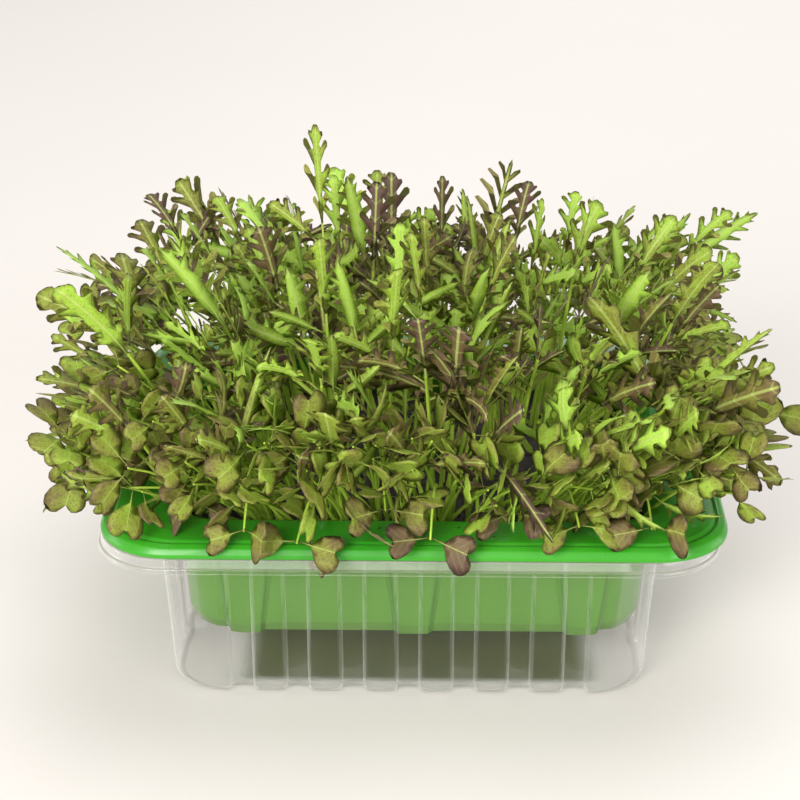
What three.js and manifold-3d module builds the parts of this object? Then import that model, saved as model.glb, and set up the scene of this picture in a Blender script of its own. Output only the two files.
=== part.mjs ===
// Microgreens tray: mustard and mizuna seedlings growing in a green soil tray, which hangs by its
// rim in a clear fluted outer tray. Millimetres, +Z up, +X along the long side, and the origin is
// the middle of the clear tray's base. The front is the side at -Y.

import * as THREE from 'three';
import { mergeVertices } from 'three/addons/utils/BufferGeometryUtils.js';
import Module from 'manifold-3d';

const wasm = await Module();
wasm.setup();

// Driving dimensions of the clear outer tray

const FLANGE_LENGTH = 214.4;
const FLANGE_WIDTH = 185;
const FLANGE_CORNER = 24.5;
const FLANGE_TOP = 65.9;
const FLANGE_REACH = 19.2;
const SKIRT_BOTTOM = 60;
const CLEAR_WALL = 0.8;
const CLEAR_CORNER = 17;
const CLEAR_TAPER = 3.7;
const BASE_ROUND = 3.4;
const FLUTE_PITCH = 19.6;
const FLUTE_FLOOR = 8;
const FLUTE_FLANK = 1.1;
const FLUTE_DEPTH_LONG = 3.4;
const FLUTE_DEPTH_SHORT = 1;
const LONG_FLUTES = 7;
const SHORT_FLUTES = 4;

// Driving dimensions of the green tray

const GREEN_SHIFT_X = 1.7;
const GREEN_SHIFT_Y = 1.2;
const RIM_LENGTH = 214;
const RIM_WIDTH = 185;
const RIM_CORNER = 24.5;
const RIM_EDGE = 66.3;
const RIM_CREST = 69.7;
const GREEN_WALL = 1;
const GREEN_FLOOR = 18.3;
const BODY_INSET = 23;
const BODY_TAPER = 2.4;
const BODY_KNEE = 25;
const SQUEEZE = 1.9;
const FOOT_SPACING = 59.5;
const FOOT_TOP_WIDTH = 18;
const FOOT_WIDTH = 9;
const FOOT_FLANK = 1.6;
const FOOT_PROUD = 1.2;
const DRAIN_RADIUS = 2.4;
const DRAINS_ALONG = [-50, 0, 50];
const DRAINS_ACROSS = [-30, 30];

// Driving dimensions of the soil and the seedlings

const SOIL_TOP = 57;
const GAP = 0.3;
const COLUMNS = 8;
const ROWS = 4;
const COLUMN_PITCH = 20.2;
const ROW_PITCH = 31;
const PLUG_RADIUS = 6;
const PLUG_DEPTH = 5;
const PLUG_SIDES = 6;
const PRISM_TURN = 0.2;
const FREE_FOOT = 12;
const REACH_X = 147;
const REACH_Y = 112;
const OVER_SOIL = 8;
const OVER_RIM = 1.5;
const BESIDE_RIM = 34;
const ATTEMPTS = 120;
const HALF_STEM = 0.8;
const BLADE = 0.8;
const CLEARANCE = 2.5;
const SEED = 7;

// Solids

function toSolid(geometry) {
  geometry.deleteAttribute('normal');
  geometry.deleteAttribute('uv');
  const welded = mergeVertices(geometry, 1e-4);
  const mesh = new wasm.Mesh({
    numProp: 3,
    vertProperties: new Float32Array(welded.attributes.position.array),
    triVerts: new Uint32Array(welded.index.array),
  });
  return new wasm.Manifold(mesh);
}

function toGeometry(solid) {
  const mesh = solid.getMesh();
  const geometry = new THREE.BufferGeometry();
  geometry.setAttribute('position', new THREE.BufferAttribute(mesh.vertProperties, 3));
  geometry.setIndex(new THREE.BufferAttribute(mesh.triVerts, 1));
  geometry.computeVertexNormals();
  return geometry;
}

function upright(sides, radius, bottom, top, x, y) {
  const prism = new THREE.CylinderGeometry(radius, radius, top - bottom, sides);
  prism.rotateX(Math.PI / 2);
  prism.rotateZ(PRISM_TURN);
  prism.translate(x, y, (top + bottom) / 2);
  return toSolid(prism);
}

// A tray's level: a rounded rectangle seen from above, counter-clockwise from the front left corner.
// Stations are extra points along the long and the short walls, each with its own inset.

function level(halfLength, halfWidth, corner, height, segments, long = [], short = []) {
  const points = [];
  const arc = (x, y, start) => {
    for (let k = 0; k <= segments; k += 1) {
      const turn = start + (k / segments) * (Math.PI / 2);
      points.push([x + corner * Math.cos(turn), y + corner * Math.sin(turn), height]);
    }
  };
  const x = halfLength - corner;
  const y = halfWidth - corner;
  arc(-x, -y, Math.PI);
  long.forEach(([along, inset]) => points.push([along, -halfWidth + inset, height]));
  arc(x, -y, -Math.PI / 2);
  short.forEach(([along, inset]) => points.push([halfLength - inset, along, height]));
  arc(x, y, 0);
  long.forEach(([along, inset]) => points.push([-along, halfWidth - inset, height]));
  arc(-x, y, Math.PI / 2);
  short.forEach(([along, inset]) => points.push([-halfLength + inset, -along, height]));
  return points;
}

// A skin over levels with the same number of points. Its two ends are capped by the given faces, and
// with none it returns to its first level as a closed ring.

const flatFaces = (outline) => THREE.ShapeUtils.triangulateShape(
  outline.map(([x, y]) => new THREE.Vector2(x, y)),
  [],
);

function loft(levels, faces) {
  const count = levels[0].length;
  const positions = levels.flat(2);
  const index = [];
  const last = (levels.length - 1) * count;
  const bands = faces ? levels.length - 1 : levels.length;
  for (let band = 0; band < bands; band += 1) {
    const low = band * count;
    const high = ((band + 1) % levels.length) * count;
    for (let k = 0; k < count; k += 1) {
      const next = (k + 1) % count;
      index.push(low + k, low + next, high + next, low + k, high + next, high + k);
    }
  }
  (faces ?? []).forEach(([a, b, c]) => {
    index.push(a, c, b, last + a, last + b, last + c);
  });
  const geometry = new THREE.BufferGeometry();
  geometry.setAttribute('position', new THREE.Float32BufferAttribute(positions, 3));
  geometry.setIndex(index);
  return geometry;
}

// Clear outer tray: a thin fluted body with a broad flange and a turned-down skirt

function flutes(count, depth) {
  const stations = [];
  for (let k = 0; k < count; k += 1) {
    const centre = (k - (count - 1) / 2) * FLUTE_PITCH;
    const floor = FLUTE_FLOOR / 2;
    stations.push([centre - floor - FLUTE_FLANK, 0], [centre - floor, depth]);
    stations.push([centre + floor, depth], [centre + floor + FLUTE_FLANK, 0]);
  }
  return stations;
}

function outerTray() {
  const topLength = FLANGE_LENGTH / 2 - FLANGE_REACH;
  const topWidth = FLANGE_WIDTH / 2 - FLANGE_REACH;
  const bodyLevel = (inset, height, share) => {
    const long = flutes(LONG_FLUTES, FLUTE_DEPTH_LONG * share);
    const short = flutes(SHORT_FLUTES, FLUTE_DEPTH_SHORT * share);
    return level(topLength - inset, topWidth - inset, CLEAR_CORNER - inset / 2, height, 4, long, short);
  };
  const base = bodyLevel(CLEAR_TAPER + BASE_ROUND, 0, 0.9);
  const body = loft([
    base,
    bodyLevel(CLEAR_TAPER, BASE_ROUND, 1),
    bodyLevel(0, FLANGE_TOP, 0),
    bodyLevel(CLEAR_WALL, FLANGE_TOP, 0),
    bodyLevel(CLEAR_TAPER + CLEAR_WALL, BASE_ROUND + 0.3, 1),
    bodyLevel(CLEAR_TAPER + BASE_ROUND + 0.5, CLEAR_WALL, 0.9),
  ], flatFaces(base));
  const flangeLevel = (inset, height) => level(
    FLANGE_LENGTH / 2 - inset,
    FLANGE_WIDTH / 2 - inset,
    FLANGE_CORNER - inset * 0.393,
    height,
    5,
  );
  const inner = FLANGE_REACH + CLEAR_WALL / 2;
  const under = FLANGE_TOP - CLEAR_WALL;
  const flange = loft([
    flangeLevel(inner, under),
    flangeLevel(1.8, under),
    flangeLevel(0.9, SKIRT_BOTTOM),
    flangeLevel(0, SKIRT_BOTTOM),
    flangeLevel(0, SKIRT_BOTTOM + 1.8),
    flangeLevel(0.7, SKIRT_BOTTOM + 2.6),
    flangeLevel(0.9, FLANGE_TOP),
    flangeLevel(inner, FLANGE_TOP),
  ]);
  return toSolid(body).add(toSolid(flange));
}

// Green tray: a tapered body with foot ribs, hung by a stepped rim with a groove and an outer lip

const greenTaper = (height) => BODY_TAPER * ((RIM_EDGE - height) / (RIM_EDGE - BODY_KNEE));

function footRibs(proud, width) {
  const stations = [];
  [-FOOT_SPACING, 0, FOOT_SPACING].forEach((centre) => {
    stations.push([centre - width / 2 - FOOT_FLANK, 0], [centre - width / 2, -proud]);
    stations.push([centre + width / 2, -proud], [centre + width / 2 + FOOT_FLANK, 0]);
  });
  return stations;
}

function greenLevel(inset, height, widthInset = 0, proud = 0, footWidth = FOOT_WIDTH) {
  return level(
    RIM_LENGTH / 2 - inset,
    RIM_WIDTH / 2 - inset - widthInset,
    Math.min(RIM_CORNER - 0.36 * inset, RIM_CORNER + 0.64 * BODY_INSET - inset),
    height,
    4,
    footRibs(proud, footWidth),
  ).map(([x, y, z]) => [x + GREEN_SHIFT_X, y + GREEN_SHIFT_Y, z]);
}

function greenTray() {
  const lowTaper = BODY_INSET + greenTaper(BODY_KNEE);
  const base = greenLevel(lowTaper + 5, GREEN_FLOOR, SQUEEZE, FOOT_PROUD * 2);
  let tray = toSolid(loft([
    base,
    greenLevel(lowTaper + 1.8, GREEN_FLOOR + 2, SQUEEZE, FOOT_PROUD * 1.5),
    greenLevel(lowTaper, BODY_KNEE, SQUEEZE, FOOT_PROUD),
    greenLevel(BODY_INSET, RIM_EDGE - 1.7, 0, 0.2, FOOT_TOP_WIDTH),
    greenLevel(20.2, RIM_CREST - 2),
    greenLevel(2.4, RIM_CREST - 1.5),
    greenLevel(1.3, RIM_EDGE),
    greenLevel(0, RIM_EDGE),
    greenLevel(0.1, RIM_EDGE + 0.9),
    greenLevel(2.2, RIM_CREST - 0.3),
    greenLevel(3.4, RIM_CREST - 1),
    greenLevel(4.6, RIM_CREST),
    greenLevel(18.6, RIM_CREST),
    greenLevel(BODY_INSET + 0.7, RIM_EDGE),
    greenLevel(lowTaper + GREEN_WALL, BODY_KNEE + 0.4, SQUEEZE),
    greenLevel(lowTaper + 4.4, GREEN_FLOOR + GREEN_WALL, SQUEEZE),
  ], flatFaces(base)));
  DRAINS_ALONG.forEach((x) => DRAINS_ACROSS.forEach((y) => {
    const drain = upright(6, DRAIN_RADIUS, GREEN_FLOOR - 2, GREEN_FLOOR + 3, x + GREEN_SHIFT_X, y);
    tray = tray.subtract(drain);
  }));
  return tray;
}

// Soil: fills the green tray to just below its rim, with a plain hole for each clump's roots

const clumpSpots = [];
for (let row = 0; row < ROWS; row += 1) {
  for (let column = 0; column < COLUMNS; column += 1) {
    const draw = makeDraw(SEED + 31 * clumpSpots.length);
    const x = (column - (COLUMNS - 1) / 2) * COLUMN_PITCH + draw(-2.5, 2.5);
    const y = (row - (ROWS - 1) / 2) * ROW_PITCH + draw(-3, 3) + (column % 2 ? 3 : -3);
    clumpSpots.push([x + GREEN_SHIFT_X, y + GREEN_SHIFT_Y]);
  }
}

function soil() {
  const lowTaper = BODY_INSET + greenTaper(BODY_KNEE) + GREEN_WALL + GAP;
  const topTaper = BODY_INSET + greenTaper(SOIL_TOP) + GREEN_WALL + GAP;
  const topSqueeze = SQUEEZE * ((RIM_EDGE - SOIL_TOP) / (RIM_EDGE - BODY_KNEE));
  const base = greenLevel(lowTaper + 4.7, GREEN_FLOOR + GREEN_WALL + GAP, SQUEEZE);
  let block = toSolid(loft([
    base,
    greenLevel(lowTaper, BODY_KNEE + 0.6, SQUEEZE),
    greenLevel(topTaper, SOIL_TOP, topSqueeze),
  ], flatFaces(base)));
  clumpSpots.forEach(([x, y]) => {
    const bottom = SOIL_TOP - PLUG_DEPTH - GAP;
    block = block.subtract(upright(PLUG_SIDES, PLUG_RADIUS + 2 * GAP, bottom, SOIL_TOP + 1, x, y));
  });
  return block;
}

// Repeatable random draws between a low and a high value

function makeDraw(seed) {
  const size = 4294967296;
  let state = (seed * 7919 + 104729) % size;
  const next = () => {
    state = (state * 1664525 + 1013904223) % size;
    return state / size;
  };
  next();
  next();
  return (low, high) => low + (high - low) * next();
}

// Space already taken by stems and blades, as points that later ones keep clear of

const taken = new Map();

const cellOf = (point) => point.map((value) => Math.floor(value / CLEARANCE));

function take(points) {
  points.forEach((point) => {
    const key = cellOf(point).join();
    if (!taken.has(key)) taken.set(key, []);
    taken.get(key).push(point);
  });
}

function meetsTaken([x, y, z]) {
  const [i, j, k] = cellOf([x, y, z]);
  for (let a = i - 1; a <= i + 1; a += 1) {
    for (let b = j - 1; b <= j + 1; b += 1) {
      for (let c = k - 1; c <= k + 1; c += 1) {
        const near = taken.get(`${a},${b},${c}`) ?? [];
        if (near.some(([p, q, r]) => Math.hypot(x - p, y - q, z - r) < CLEARANCE)) return true;
      }
    }
  }
  return false;
}

// The trays keep a margin free of foliage: over the soil, over the rim and beside the rim. The
// foliage also stays within its reach to the sides.

function meetsTray([x, y, z]) {
  if (Math.abs(x) > REACH_X || Math.abs(y) > REACH_Y) return true;
  const side = Math.abs(x - GREEN_SHIFT_X);
  const depth = Math.abs(y - GREEN_SHIFT_Y);
  if (side < 79 && depth < 63) return z < SOIL_TOP + OVER_SOIL;
  if (side < RIM_LENGTH / 2 + 4 && depth < RIM_WIDTH / 2 + 3) return z < RIM_CREST + OVER_RIM;
  return z < BESIDE_RIM;
}

// Seedling outlines, laid out flat. Each side runs from the foot up to the tip as pairs of along and
// across: along is a share of the whole length plus millimetres, and across is in millimetres.

const stemTo = (share, bends) => {
  const points = [];
  for (let k = 0; k < bends; k += 1) points.push([(share * k) / bends, 0, HALF_STEM]);
  return [...points, [share, -1, HALF_STEM]];
};

const seedLeaf = (share, size) => [
  [share, -5 * size, 8.5 * size],
  [share, -3 * size, 17 * size],
  [share, 1 * size, 15 * size],
  [share, 5 * size, 17.5 * size],
  [share, 6 * size, 8.5 * size],
  [share, 1.2, HALF_STEM],
];

const sideLeaf = (share, size) => [
  [share, 3 * size, 11 * size],
  [share, 9 * size, 12 * size],
  [share, 19 * size, 24 * size],
  [share, 15 * size, 11 * size],
  [share, 16 * size, 7 * size],
  [share, 1.4, HALF_STEM],
];

const frills = (from, width, count) => {
  const points = [];
  for (let k = 0; k < count; k += 1) {
    const share = from + ((k + 0.8) / (count + 0.4)) * (1 - from);
    const reach = width * (k === 0 ? 0.75 : 1) * (k === count - 1 && count > 2 ? 0.7 : 1);
    points.push([share, 2, reach / 2]);
    points.push([share, 2.6, width * 0.09]);
  }
  return points.slice(0, -1);
};

const OUTLINES = {
  frond: {
    bends: 2,
    right: [...stemTo(0.5, 2), ...sideLeaf(0.5, 1), ...frills(0.66, 17, 2)],
    left: [...stemTo(0.58, 2), ...sideLeaf(0.58, 0.9), ...frills(0.66, 17, 2)],
  },
  plume: {
    bends: 3,
    right: [...stemTo(0.55, 3), ...frills(0.55, 19, 3)],
    left: [...stemTo(0.57, 3), ...frills(0.57, 19, 3)],
  },
  pair: {
    bends: 2,
    right: [...stemTo(0.62, 2), ...seedLeaf(0.62, 0.95), ...frills(0.7, 10, 1)],
    left: [...stemTo(0.62, 2), ...seedLeaf(0.62, 0.85), ...frills(0.7, 10, 1)],
  },
  dangle: {
    bends: 5,
    right: [...stemTo(0.86, 5), ...seedLeaf(0.86, 0.85)],
    left: [...stemTo(0.86, 5), ...seedLeaf(0.86, 0.75)],
  },
};

function flatOutline(seedling) {
  const place = ([share, offset, across]) => [share * seedling.length + offset, across];
  const right = OUTLINES[seedling.kind].right.map(place);
  const left = OUTLINES[seedling.kind].left.map(place).map(([along, across]) => [along, -across]);
  return [...left, [seedling.length, 0], ...right.reverse()];
}

// The stem is split row by row, so that it bends evenly, and the leaves above it as one polygon

function outlineFaces(seedling, outline) {
  const last = outline.length - 1;
  const rows = OUTLINES[seedling.kind].bends - 1;
  const faces = flatFaces(outline.slice(rows, last + 1 - rows)).map((face) => face.map((k) => k + rows));
  for (let k = 0; k < rows; k += 1) {
    faces.push([k, k + 1, last - k - 1], [k, last - k - 1, last - k]);
  }
  return faces;
}

function isInside(outline, along, across) {
  let inside = false;
  outline.forEach(([a, b], k) => {
    const [c, d] = outline[(k + 1) % outline.length];
    if ((b > across) !== (d > across) && along < ((c - a) * (across - b)) / (d - b) + a) inside = !inside;
  });
  return inside;
}

// Points all over a flat outline, about a clearance apart, from above the foot up to the tip

function flatSamples(outline, length) {
  const step = CLEARANCE * 0.9;
  const samples = outline.filter(([along]) => along > FREE_FOOT);
  for (let along = FREE_FOOT; along < length; along += step) {
    for (let k = -12; k <= 12; k += 1) {
      if (isInside(outline, along, k * step)) samples.push([along, k * step]);
    }
  }
  return samples;
}

// A seedling follows a curve from its foot past its knee to its tip, and its leaves curl across it

function ribPoint({ foot, knee, tip }, share) {
  const rest = 1 - share;
  return foot.map((value, axis) => rest * rest * value
    + 2 * rest * share * knee[axis]
    + share * share * tip[axis]);
}

function ribFrame({ foot, knee, tip }, share) {
  const first = new THREE.Vector3(...knee).sub(new THREE.Vector3(...foot));
  const second = new THREE.Vector3(...tip).sub(new THREE.Vector3(...knee));
  const side = first.clone().cross(second).normalize();
  const tangent = first.multiplyScalar(1 - share).add(second.multiplyScalar(share)).normalize();
  return { side, up: tangent.cross(side) };
}

function seedlingPoint(seedling, along, across, lift) {
  const share = along / seedling.length;
  const { side, up } = ribFrame(seedling, share);
  const turn = seedling.curl * across;
  const wide = Math.sin(turn) / seedling.curl - lift * Math.sin(turn);
  const high = (1 - Math.cos(turn)) / seedling.curl + lift * Math.cos(turn);
  const { roll } = seedling;
  const a = wide * Math.cos(roll) - high * Math.sin(roll);
  const b = wide * Math.sin(roll) + high * Math.cos(roll);
  const centre = ribPoint(seedling, share);
  return [
    centre[0] + side.x * a + up.x * b,
    centre[1] + side.y * a + up.y * b,
    centre[2] + side.z * a + up.z * b,
  ];
}

function ribLength(seedling) {
  let length = 0;
  for (let k = 0; k < 20; k += 1) {
    const from = ribPoint(seedling, k / 20);
    const to = ribPoint(seedling, (k + 1) / 20);
    length += Math.hypot(to[0] - from[0], to[1] - from[1], to[2] - from[2]);
  }
  return length;
}

// Tries tips, rolls and curls until the seedling is clear of everything, and gives up after some

function settle(draw, clump, kind, foot, wish, bow) {
  for (let attempt = 0; attempt < ATTEMPTS; attempt += 1) {
    const loose = 1.5 + attempt * 0.25;
    const tip = wish.map((value) => value + draw(-1, 1) * loose);
    const lean = draw(0.2, 0.5);
    const knee = [
      foot[0] + (tip[0] - foot[0]) * lean,
      foot[1] + (tip[1] - foot[1]) * lean,
      Math.max(tip[2] * 0.75, SOIL_TOP + bow) + draw(-5, 5),
    ];
    const seedling = {
      clump,
      kind,
      foot,
      knee,
      tip,
      roll: draw(-0.6, 0.6),
      curl: draw(0.01, 0.045) * (draw(0, 1) < 0.6 ? -1 : 1),
    };
    seedling.length = ribLength(seedling);
    const outline = flatOutline(seedling);
    const points = flatSamples(outline, seedling.length)
      .map(([along, across]) => seedlingPoint(seedling, along, across, 0));
    if (points.every((point) => !meetsTaken(point) && !meetsTray(point))) {
      take(points);
      return seedling;
    }
  }
  return null;
}

// The sowing: every clump has two fronds, a plume and a low pair of seed leaves, and the first clumps
// at the front have one more pair. Clumps lean outwards. The front row's pairs dangle over the rim,
// and a few seedlings have tips of their own.

const HABITS = [
  { name: 'crown', kind: 'frond', height: 102, spread: 8, lean: 46 },
  { name: 'sprout', kind: 'pair', height: 54, spread: 16, lean: 40 },
  { name: 'reach', kind: 'plume', height: 90, spread: 22, lean: 70 },
  { name: 'middle', kind: 'frond', height: 72, spread: 24, lean: 58 },
  { name: 'filler', kind: 'pair', height: 46, spread: 20, lean: 46 },
];
const FILLER_CLUMPS = 13;
const DANGLE_TIPS = [
  [-78, -92, 76],
  [-55, -98, 66],
  [-37, -99, 62],
  [-5, -98, 73],
  [9, -100, 63],
  [33, -96, 76],
  [60, -98, 70],
  [84, -98, 67],
];
const OWN_TIPS = {
  'crown 18': { tip: [-36, 8, 186], bow: 80 },
  'reach 0': { tip: [-117, -62, 46], bow: 62 },
  'reach 15': { tip: [134, -28, 56], bow: 52 },
  'reach 8': { tip: [-147, -4, 90], bow: 40 },
  'reach 23': { tip: [129, 8, 118], bow: 40 },
  'reach 7': { tip: [121, -58, 136], bow: 54 },
  'reach 16': { tip: [-130, 14, 138], bow: 50 },
};

const seedlings = [];

function sowOne(clump, habit, number) {
  const [x, y] = clumpSpots[clump];
  const draw = makeDraw(SEED * 101 + clump * 7 + number);
  const u = (x - GREEN_SHIFT_X) / 76;
  const v = (y - GREEN_SHIFT_Y) / 54;
  const turn = clump * 2.4 + (number * 2 * Math.PI) / HABITS.length;
  const foot = [x + 2.8 * Math.cos(turn), y + 2.8 * Math.sin(turn), SOIL_TOP - 2.2];
  const wish = [
    foot[0] + u * Math.abs(u) * habit.lean + habit.spread * Math.cos(turn),
    foot[1] + v * Math.abs(v) * habit.lean * 0.7 + habit.spread * Math.sin(turn),
    SOIL_TOP + habit.height * (1 - 0.25 * u * u - 0.1 * v * v) + draw(-8, 8),
  ];
  const own = OWN_TIPS[`${habit.name} ${clump}`];
  if (own) return settle(draw, clump, habit.kind, foot, own.tip, own.bow);
  if (habit.name === 'sprout' && clump < COLUMNS) {
    return settle(draw, clump, 'dangle', foot, DANGLE_TIPS[clump], 52);
  }
  return settle(draw, clump, habit.kind, foot, wish, habit.height * 0.6);
}

function sow() {
  HABITS.forEach((habit, number) => {
    const count = habit.name === 'filler' ? FILLER_CLUMPS : clumpSpots.length;
    for (let clump = 0; clump < count; clump += 1) {
      const seedling = sowOne(clump, habit, number);
      if (seedling) seedlings.push(seedling);
    }
  });
}

// Solids of the seedlings: a flat outline with a thickness, bent along its rib

function seedlingSolid(seedling) {
  const outline = flatOutline(seedling);
  const layer = (lift) => outline.map(([along, across]) => (
    seedlingPoint(seedling, along, across, lift)));
  return toSolid(loft([layer(-BLADE / 2), layer(BLADE / 2)], outlineFaces(seedling, outline)));
}

function clumpSolid(clump) {
  const [x, y] = clumpSpots[clump];
  let solid = upright(PLUG_SIDES, PLUG_RADIUS, SOIL_TOP - PLUG_DEPTH, SOIL_TOP - 0.2, x, y);
  seedlings.filter((seedling) => seedling.clump === clump).forEach((seedling) => {
    solid = solid.add(seedlingSolid(seedling));
  });
  return solid;
}

// Finishes

const clearPlastic = new THREE.MeshStandardMaterial({
  color: 0xdfe6df,
  roughness: 0.08,
  metalness: 0,
  transparent: true,
  opacity: 0.35,
});
const greenPlastic = new THREE.MeshStandardMaterial({ color: 0x2f9a1e, roughness: 0.35, metalness: 0 });
const darkSoil = new THREE.MeshStandardMaterial({ color: 0x1d1712, roughness: 0.95, metalness: 0 });
const greenLeaf = new THREE.MeshStandardMaterial({ color: 0x7fae35, roughness: 0.55, metalness: 0 });
const purpleLeaf = new THREE.MeshStandardMaterial({ color: 0x6b5138, roughness: 0.55, metalness: 0 });

// The whole tray

const tray = new THREE.Group();

function addPiece(name, solid, material) {
  const mesh = new THREE.Mesh(toGeometry(solid), material);
  mesh.name = name;
  tray.add(mesh);
}

sow();
addPiece('outer_tray', outerTray(), clearPlastic);
addPiece('green_tray', greenTray(), greenPlastic);
addPiece('soil', soil(), darkSoil);
clumpSpots.forEach((spot, clump) => {
  const purple = makeDraw(SEED * 13 + clump)(0, 1) < 0.4;
  const name = `seedlings_${String(clump + 1).padStart(2, '0')}`;
  addPiece(name, clumpSolid(clump), purple ? purpleLeaf : greenLeaf);
});

export default tray;
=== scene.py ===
import math

import bmesh
import bpy
import numpy as np
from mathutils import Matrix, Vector


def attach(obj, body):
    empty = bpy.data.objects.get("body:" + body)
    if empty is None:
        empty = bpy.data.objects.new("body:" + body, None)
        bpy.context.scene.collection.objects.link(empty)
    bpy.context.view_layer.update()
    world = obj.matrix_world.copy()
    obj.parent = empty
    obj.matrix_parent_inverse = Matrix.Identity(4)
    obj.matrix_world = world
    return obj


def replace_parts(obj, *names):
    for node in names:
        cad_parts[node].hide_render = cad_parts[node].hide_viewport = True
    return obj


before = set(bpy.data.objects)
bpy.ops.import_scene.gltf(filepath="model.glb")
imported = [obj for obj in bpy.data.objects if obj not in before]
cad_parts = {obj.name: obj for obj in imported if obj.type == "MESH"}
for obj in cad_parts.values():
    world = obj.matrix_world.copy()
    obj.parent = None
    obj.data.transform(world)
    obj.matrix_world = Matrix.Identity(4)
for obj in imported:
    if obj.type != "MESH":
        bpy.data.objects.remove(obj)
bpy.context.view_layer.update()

# ---------------------------------------------------------------- studio
# A pale round table with a rolled edge, soft light from above and in front, and the camera
# at the photograph's angle: a little to the right of the middle, looking down on the tray.

MM = 0.001
EYE = Vector((8.2, -744.9, 422.2)) * MM
PITCH = math.radians(65.54)
HEADING = 0.0165
LENS = 99.85
FILM = 36
TABLE_RADIUS = 3
TABLE_EDGE = 0.1

camera = bpy.data.cameras.new("camera")
camera.lens = LENS
camera.sensor_width = FILM
camera.clip_start = 0.05
eye = bpy.data.objects.new("camera", camera)
eye.location = EYE
eye.rotation_euler = (PITCH, 0, HEADING)
bpy.context.scene.collection.objects.link(eye)
bpy.context.scene.camera = eye

bpy.context.scene.view_settings.view_transform = "Standard"


def start(primitive, **settings):
    """Adds a primitive of its own, with nothing else selected, and opens it for editing."""
    if bpy.context.object and bpy.context.object.mode == "EDIT":
        bpy.ops.object.mode_set(mode="OBJECT")
    bpy.ops.object.select_all(action="DESELECT")
    getattr(bpy.ops.mesh, f"primitive_{primitive}_add")(**settings)
    piece = bpy.context.object
    bpy.ops.object.mode_set(mode="EDIT")
    bpy.ops.mesh.select_all(action="SELECT")
    return piece


def pick(piece, kind, test):
    """Selects the vertices, edges or faces that pass the test, and nothing else."""
    bpy.ops.mesh.select_mode(type={"verts": "VERT", "edges": "EDGE", "faces": "FACE"}[kind])
    bpy.ops.mesh.select_all(action="DESELECT")
    shape = bmesh.from_edit_mesh(piece.data)
    for element in getattr(shape, kind):
        if test(element):
            element.select_set(True)
    shape.select_flush_mode()
    bmesh.update_edit_mesh(piece.data)


def close(piece, name):
    """Leaves edit mode and puts the piece's place into its mesh."""
    bpy.ops.object.mode_set(mode="OBJECT")
    piece.name = name
    piece.data.name = name
    bpy.ops.object.transform_apply(location=True, rotation=True, scale=True)
    return piece


def modify(piece, kind, **settings):
    """Adds a modifier and applies it."""
    bpy.context.view_layer.objects.active = piece
    modifier = piece.modifiers.new(kind.lower(), kind)
    for key, value in settings.items():
        setattr(modifier, key, value)
    bpy.ops.object.modifier_apply(modifier=modifier.name)


class Wire:
    """A value on its way through a material's nodes. Arithmetic on it adds Math nodes."""

    def __init__(self, finish, socket):
        self.finish = finish
        self.socket = socket

    def maths(self, operation, *values):
        return self.finish.add("ShaderNodeMath", {"operation": operation}, dict(enumerate(values)))

    def __add__(self, other):
        return self.maths("ADD", self, other)

    __radd__ = __add__

    def __sub__(self, other):
        return self.maths("SUBTRACT", self, other)

    def __rsub__(self, other):
        return self.maths("SUBTRACT", other, self)

    def __mul__(self, other):
        return self.maths("MULTIPLY", self, other)

    def __pow__(self, other):
        return self.maths("POWER", self, other)

    def __abs__(self):
        return self.maths("ABSOLUTE", self)

    def fraction(self):
        return self.maths("FRACT", self)


class Finish:
    """A procedural material."""

    def __init__(self, name):
        self.material = bpy.data.materials.new(name)
        self.material.use_nodes = True
        self.nodes = self.material.node_tree.nodes
        self.nodes.clear()

    def add(self, kind, settings=None, inputs=None, output=0):
        node = self.nodes.new(kind)
        settings = dict(settings or {})
        stops = settings.pop("stops", None)
        for key, value in settings.items():
            setattr(node, key, value)
        if stops:
            ramp = node.color_ramp
            while len(ramp.elements) < len(stops):
                ramp.elements.new(0.5)
            for element, (place, colour) in zip(ramp.elements, stops):
                element.position = place
                element.color = (*colour, 1)
        for key, value in (inputs or {}).items():
            if isinstance(value, Wire):
                self.material.node_tree.links.new(value.socket, node.inputs[key])
            elif isinstance(value, tuple) and len(value) < len(node.inputs[key].default_value):
                node.inputs[key].default_value = (*value, 1)
            else:
                node.inputs[key].default_value = value
        return Wire(self, node.outputs[output]) if node.outputs else None

    def place(self):
        return self.add("ShaderNodeTexCoord", output="Object")

    def noise(self, scale, detail=3, where=None):
        return self.add("ShaderNodeTexNoise", None,
                        {"Vector": where or self.place(), "Scale": scale, "Detail": detail})

    def step(self, value, low, high):
        return self.add("ShaderNodeMapRange", {"interpolation_type": "SMOOTHSTEP"},
                        {"Value": value, "From Min": low, "From Max": high})

    def mix(self, factor, first, second):
        return self.add("ShaderNodeMix", {"data_type": "RGBA"}, {0: factor, 6: first, 7: second}, 2)

    def bump(self, height, strength, distance):
        return self.add("ShaderNodeBump", None,
                        {"Height": height, "Strength": strength, "Distance": distance})

    def done(self, surface):
        self.add("ShaderNodeOutputMaterial", None, {"Surface": surface})
        return self.material


table = start("circle", vertices=128, radius=TABLE_RADIUS, fill_type="NGON", location=(0, 0, 0))
bpy.ops.mesh.inset(thickness=TABLE_EDGE)
pick(table, "verts", lambda vertex: vertex.co.length > TABLE_RADIUS - TABLE_EDGE / 2)
bpy.ops.transform.translate(value=(0, 0, -0.08))
close(table, "table_top")
modify(table, "BEVEL", width=0.03, segments=4, limit_method="ANGLE", angle_limit=0.3)

pale = Finish("pale table")
grain = pale.noise(3)
pale_colour = pale.mix(grain, (0.62, 0.585, 0.56), (0.65, 0.62, 0.595))
table.data.materials.append(pale.done(pale.add("ShaderNodeBsdfPrincipled", None, {
    "Base Color": pale_colour,
    "Roughness": 0.75,
})))

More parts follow.
